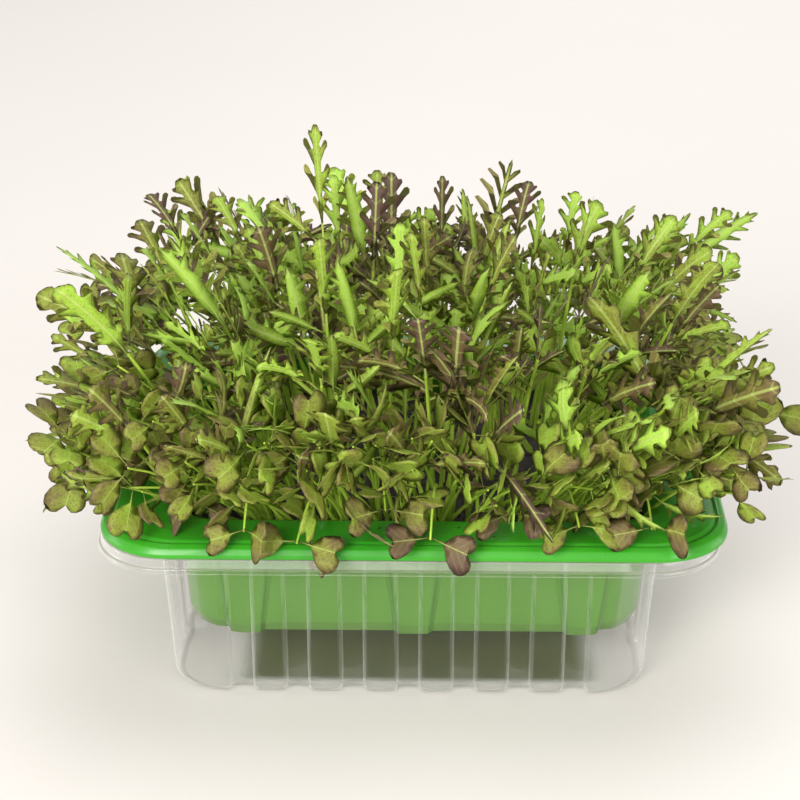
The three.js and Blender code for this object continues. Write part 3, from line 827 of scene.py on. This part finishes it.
def settle(draw, clump, kind, foot, wish, bow):
    for attempt in range(ATTEMPTS):
        seedling = tried(draw, kind, foot, wish, bow, 1.5 + attempt * 0.25)
        length = seedling["length"]
        points = bent(seedling, flat_samples(flat_outline(kind, length), length))
        if not near_tray(points) and not meets(points):
            take(points.tolist())
            seedling["clump"] = clump
            return seedling
    return None


HABITS = [("crown", "frond", 102, 8, 46), ("sprout", "pair", 54, 16, 40), ("reach", "plume", 90, 22, 70),
          ("middle", "frond", 72, 24, 58), ("filler", "pair", 46, 20, 46)]
FILLER_CLUMPS = 13
DANGLE_TIPS = [(-78, -92, 76), (-55, -98, 66), (-37, -99, 62), (-5, -98, 73),
               (9, -100, 63), (33, -96, 76), (60, -98, 70), (84, -98, 67)]
OWN_TIPS = {
    ("crown", 18): ((-36, 8, 186), 80),
    ("reach", 0): ((-117, -62, 46), 62),
    ("reach", 15): ((134, -28, 56), 52),
    ("reach", 8): ((-147, -4, 90), 40),
    ("reach", 23): ((129, 8, 118), 40),
    ("reach", 7): ((121, -58, 136), 54),
    ("reach", 16): ((-130, 14, 138), 50),
}

seedlings = []
for number, (habit, kind, height, spread, lean) in enumerate(HABITS):
    for clump in range(FILLER_CLUMPS if habit == "filler" else len(clump_spots)):
        x, y = clump_spots[clump]
        draw = make_draw(SEED * 101 + clump * 7 + number)
        u, v = (x - GREEN_MIDDLE[0]) / 76, (y - GREEN_MIDDLE[1]) / 54
        turn = clump * 2.4 + number * math.tau / len(HABITS)
        foot = [x + 2.8 * math.cos(turn), y + 2.8 * math.sin(turn), SOIL_TOP - 2.2]
        wish = [foot[0] + u * abs(u) * lean + spread * math.cos(turn),
                foot[1] + v * abs(v) * lean * 0.7 + spread * math.sin(turn),
                SOIL_TOP + height * (1 - 0.25 * u * u - 0.1 * v * v) + draw(-8, 8)]
        if (habit, clump) in OWN_TIPS:
            tip, bow = OWN_TIPS[habit, clump]
            found = settle(draw, clump, kind, foot, tip, bow)
        elif habit == "sprout" and clump < COLUMNS:
            found = settle(draw, clump, "dangle", foot, DANGLE_TIPS[clump], 52)
        else:
            found = settle(draw, clump, kind, foot, wish, height * 0.6)
        if found:
            seedlings.append(found)

# ---------------------------------------------------------------- clumps of seedlings
# Each clump's stems and leaves, grown on the curves above: a round stem, and leaves that lie
# where the solid's blades lie. Young leaves are bright green, older ones olive or wine brown
# from the margin inwards, with a paler midrib.

LEAF_THICK = 0.22


def laid(blank, at, turn, length, width, thick, bow=0, fold=0, twist=0):
    """A blank leaf laid out flat on a seedling: from a point, in a direction, at a size."""
    u, v, w = BLANKS[blank][1].T
    out = u * length
    wide = v * width
    lift = w * thick * (1 - 0.5 * u) + bow * u * u * length + fold * abs(wide) + twist * u * wide
    return np.stack([at[0] + out * math.cos(turn) - wide * math.sin(turn),
                     at[1] + out * math.sin(turn) + wide * math.cos(turn),
                     at[2] + lift], axis=1)


def stem_laid(end_at, thick, thin):
    """A stem laid out flat along a seedling, from its foot."""
    x, y, z = stem_shape.T
    radius = thick + (thin - thick) * z
    return np.stack([end_at * z, x * radius, y * radius], axis=1)


def grown(seedling, draw, tone, size=1, loose=0.3):
    """The stem and the leaves of one seedling, as copies of the blanks in their places.

    Each leaf has its place as a share of the stem, a turn, and a length and width in mm.
    """
    length = seedling["length"]
    kind = seedling["kind"]
    parts = []

    def leaf(blank, share, turn, long, wide, hue=0, bow=None):
        if loose > 0.5 and turn and blank != "seed":
            turn, bow = turn * draw(0.9, 1.7), draw(-0.7, 0)
        flat = laid(blank, (share * length, 0, 0), turn, long * size, wide * size, LEAF_THICK,
                    draw(-0.3, 0.12) if bow is None else bow,
                    draw(0, 0.15 if blank == "seed" else 0.35), draw(-0.4, 0.4))
        spin = draw(-1, 1) * loose
        flat[:, 1:] = flat[:, 1:] @ np.array([[math.cos(spin), math.sin(spin)],
                                              [-math.sin(spin), math.cos(spin)]])
        parts.append(copy_of(BLANKS[blank][0], bent(seedling, flat),
                             tone=tone + hue + draw(-0.1, 0.1), stalk=0))

    def stalk(end, thick, thin):
        flat = stem_laid(end * length, thick, thin)
        parts.append(copy_of(stem, bent(seedling, flat), tone=tone, stalk=1, margin=0))

    top = (1 - 0.58) * length / size
    if kind == "frond":
        stalk(0.62, 0.95, 0.6)
        leaf("lobed" if draw(0, 1) < 0.85 else "broad", 0.5, 0.9, 30, draw(27, 33))
        leaf("lobed" if draw(0, 1) < 0.6 else "strap", 0.58, -0.9, 28, draw(25, 31))
        leaf("lobed" if draw(0, 1) < 0.9 else "broad", 0.58, 0, top, draw(28, 34), 0.05,
             draw(-0.05, 0.05))
    elif kind == "plume":
        stalk(0.6, 0.85, 0.5)
        leaf("strap" if draw(0, 1) < 0.75 else "thread", 0.55, 0, 0.45 * length / size,
             draw(34, 42), -0.1, draw(-0.05, 0.05))
        leaf("strap", 0.57, 0.75, 26, draw(30, 36))
        leaf("strap" if draw(0, 1) < 0.6 else "thread", 0.5, -0.8, 26, draw(28, 34))
    else:
        share = 0.62 if kind == "pair" else 0.86
        stalk(share + 0.01, 0.85, 0.38)
        olive = 0.36 - tone * 0.7
        closed = 0.6 if loose > 0.5 else 1.1
        leaf("seed", share, draw(closed, 1.5), 15.5, 12.8, olive)
        leaf("seed", share, -draw(closed, 1.5), 14.5, 11.8, olive)
        if kind == "pair":
            leaf("strap" if draw(0, 1) < 0.4 else "lobed", share, 0, 0.38 * length / size,
                 draw(18, 24), -0.1)
    return parts


def tissue(name, shift):
    """Leaf and stem tissue. The tone runs from fresh green over olive to wine brown."""
    leaf = Finish(name)
    tone = leaf.add("ShaderNodeAttribute", {"attribute_name": "tone"}, output="Fac")
    margin = leaf.add("ShaderNodeAttribute", {"attribute_name": "margin"}, output="Fac")
    stalk = leaf.add("ShaderNodeAttribute", {"attribute_name": "stalk"}, output="Fac")
    pattern = leaf.add("ShaderNodeSeparateXYZ", None, {
        "Vector": leaf.add("ShaderNodeUVMap", {"uv_map": "leaf"})}, "X")
    across = abs(Wire(leaf, pattern.socket.node.outputs["Y"]))
    blotch = leaf.noise(90, 3)
    freckles = leaf.step(leaf.noise(1300, 3), 0.5, 0.64)
    rim = leaf.step(margin + blotch * 0.1, 0.88, 1.02)
    hue = tone + rim * 0.24 + across * 0.4 + (blotch - 0.5) * 0.5 + freckles * 0.18 + shift - 0.06
    colour = leaf.add("ShaderNodeValToRGB", {"stops": [
        (0.05, (0.42, 0.66, 0.085)), (0.26, (0.32, 0.50, 0.05)), (0.46, (0.24, 0.275, 0.035)),
        (0.64, (0.155, 0.105, 0.038)), (0.9, (0.10, 0.045, 0.044))]}, {"Fac": hue}, "Color")
    main_rib = leaf.step(across, 0.017, 0.007)
    ribs = leaf.step(abs((pattern * 6 - across * 5.3).fraction() - 0.5), 0.07, 0.02) * 0.3
    colour = leaf.mix((main_rib * 0.6 + ribs) * (1 - stalk), colour, (0.48, 0.58, 0.16))
    stem_colour = leaf.mix(leaf.step(blotch, 0.3, 0.7), (0.34, 0.52, 0.05), (0.54, 0.72, 0.09))
    colour = leaf.mix(stalk, colour, stem_colour)
    surface = leaf.add("ShaderNodeBsdfPrincipled", None, {
        "Base Color": colour,
        "Roughness": 0.5 + blotch * 0.15,
        "Specular IOR Level": 0.35,
        "Normal": leaf.bump(main_rib * 0.6 + ribs + leaf.noise(700, 2) * 0.25, 0.5, 0.0004),
    })
    glow = leaf.add("ShaderNodeBsdfTranslucent", None, {"Color": (0.55, 0.68, 0.09, 1)})
    return leaf.done(leaf.add("ShaderNodeMixShader", None, {0: 0.24, 1: surface, 2: glow}))


TISSUES = {"green_leaf": tissue("green leaf", 0), "purple_leaf": tissue("purple leaf", 0.3)}


def plant(parts, name, slot):
    """Joins what grows together, gives it its tissue and lets it ride on the tray."""
    piece = join(parts, name)
    piece.data.materials.clear()
    piece.data.materials.append(TISSUES[slot])
    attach(piece, "root")
    return piece


for clump in range(len(clump_spots)):
    draw = make_draw(900 + clump)
    slot = "purple_leaf" if make_draw(SEED * 13 + clump)(0, 1) < 0.4 else "green_leaf"
    parts = []
    for seedling in seedlings:
        if seedling["clump"] == clump:
            parts += grown(seedling, draw, draw(0.05, 0.58))
    name = f"{clump + 1:02d}"
    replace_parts(plant(parts, f"clump_{name}", slot), f"seedlings_{name}")

# ---------------------------------------------------------------- thick growth between the clumps
# The rest of the crop: 276 seedlings between the clumps, low ones with seed leaves and taller
# ones whose lobed leaves close the canopy and turn to the light in front. They root in the same
# soil, and one that would touch the rim is grown again elsewhere.

CANOPY = [(-150, 92), (-136, 138), (-122, 154), (-100, 162), (-56, 168), (-36, 172), (-20, 166),
          (17, 160), (58, 154), (86, 150), (110, 146), (130, 134), (146, 96)]
LOWEST_TIP = 74
HIGHEST_LEAF = 180
SPREAD = (116, 86)
ROOTS = (77, 58)
THIRD = 40
TRIES = 12
ALL_ROUND = (0, 1)
FRONT = (0.56, 0.94)
# Each growth: how many, their kind, height and distance from the middle as shares, the sector
# of the full turn, and size.
GROWTHS = {
    "low": (100, "dangle", (-0.05, 0.45), (0.85, 1.2), ALL_ROUND, (0.85, 1.15)),
    "front": (100, "dangle", (-0.05, 0.6), (0.94, 1.2), FRONT, (0.85, 1.2)),
    "mid": (6, "frond", (0.3, 0.75), (0.3, 1.1), ALL_ROUND, (0.9, 1.1)),
    "plumes": (18, "plume", (0.5, 1.02), (0.2, 1.15), ALL_ROUND, (1.0, 1.3)),
    "top": (18, "frond", (0.45, 1.06), (0.0, 1.1), ALL_ROUND, (1.0, 1.25)),
    "outer": (34, "frond", (0.3, 0.98), (1.12, 1.27), ALL_ROUND, (1.0, 1.3)),
}
LIGHT = np.array([0, -0.8, 0.6])


def growth(name, first_seed):
    """The seedlings of one kind of growth, as pieces from left to right."""
    count, kind, (low, high), (inner, outer), sector, (small, large) = GROWTHS[name]
    slices = {}
    for number in range(count):
        draw = make_draw(first_seed + number)
        for _ in range(TRIES):
            turn, out = draw(*sector) * math.tau, math.sqrt(draw(inner ** 2, outer ** 2))
            square = 1 / max(abs(math.cos(turn)), abs(math.sin(turn))) ** 0.6
            u, v = out * square * math.cos(turn), out * square * math.sin(turn)
            x, y = u * SPREAD[0], v * SPREAD[1]
            roof = np.interp(x, *zip(*CANOPY)) * (1 - 0.12 * v * v)
            z = LOWEST_TIP + (roof - LOWEST_TIP) * draw(low, high)
            foot = [max(-ROOTS[0], min(ROOTS[0], x * 0.6 + draw(-14, 14))) + GREEN_MIDDLE[0],
                    max(-ROOTS[1], min(ROOTS[1], y * 0.6 + draw(-12, 12))) + GREEN_MIDDLE[1],
                    SOIL_TOP - 1]
            seedling = tried(draw, kind, foot, [x, y, z], (z - SOIL_TOP) * 0.62, 3)
            side, up = rib(seedling, [0.8])[1:]
            seedling["roll"] = math.atan2(-side @ LIGHT, up[0] @ LIGHT) + draw(-0.7, 0.7)
            parts = grown(seedling, draw, draw(0.0, 0.95 if kind == "frond" else 0.45),
                          draw(small, large), 0.9)
            points = np.vstack([[vertex.co for vertex in part.data.vertices] for part in parts]) / MM
            clear_of_tray = not near_tray(points[points[:, 2] > SOIL_TOP + FREE_FOOT])
            if clear_of_tray and points[:, 2].max() < HIGHEST_LEAF:
                slices.setdefault(0 if x < -THIRD else 1 if x < THIRD else 2, []).extend(parts)
                break
            for part in parts:
                bpy.data.objects.remove(part)
    for place, parts in sorted(slices.items()):
        plant(parts, f"{name}_growth_{place + 1}", "green_leaf")


for order, name in enumerate(GROWTHS):
    growth(name, 5000 + 1000 * order)
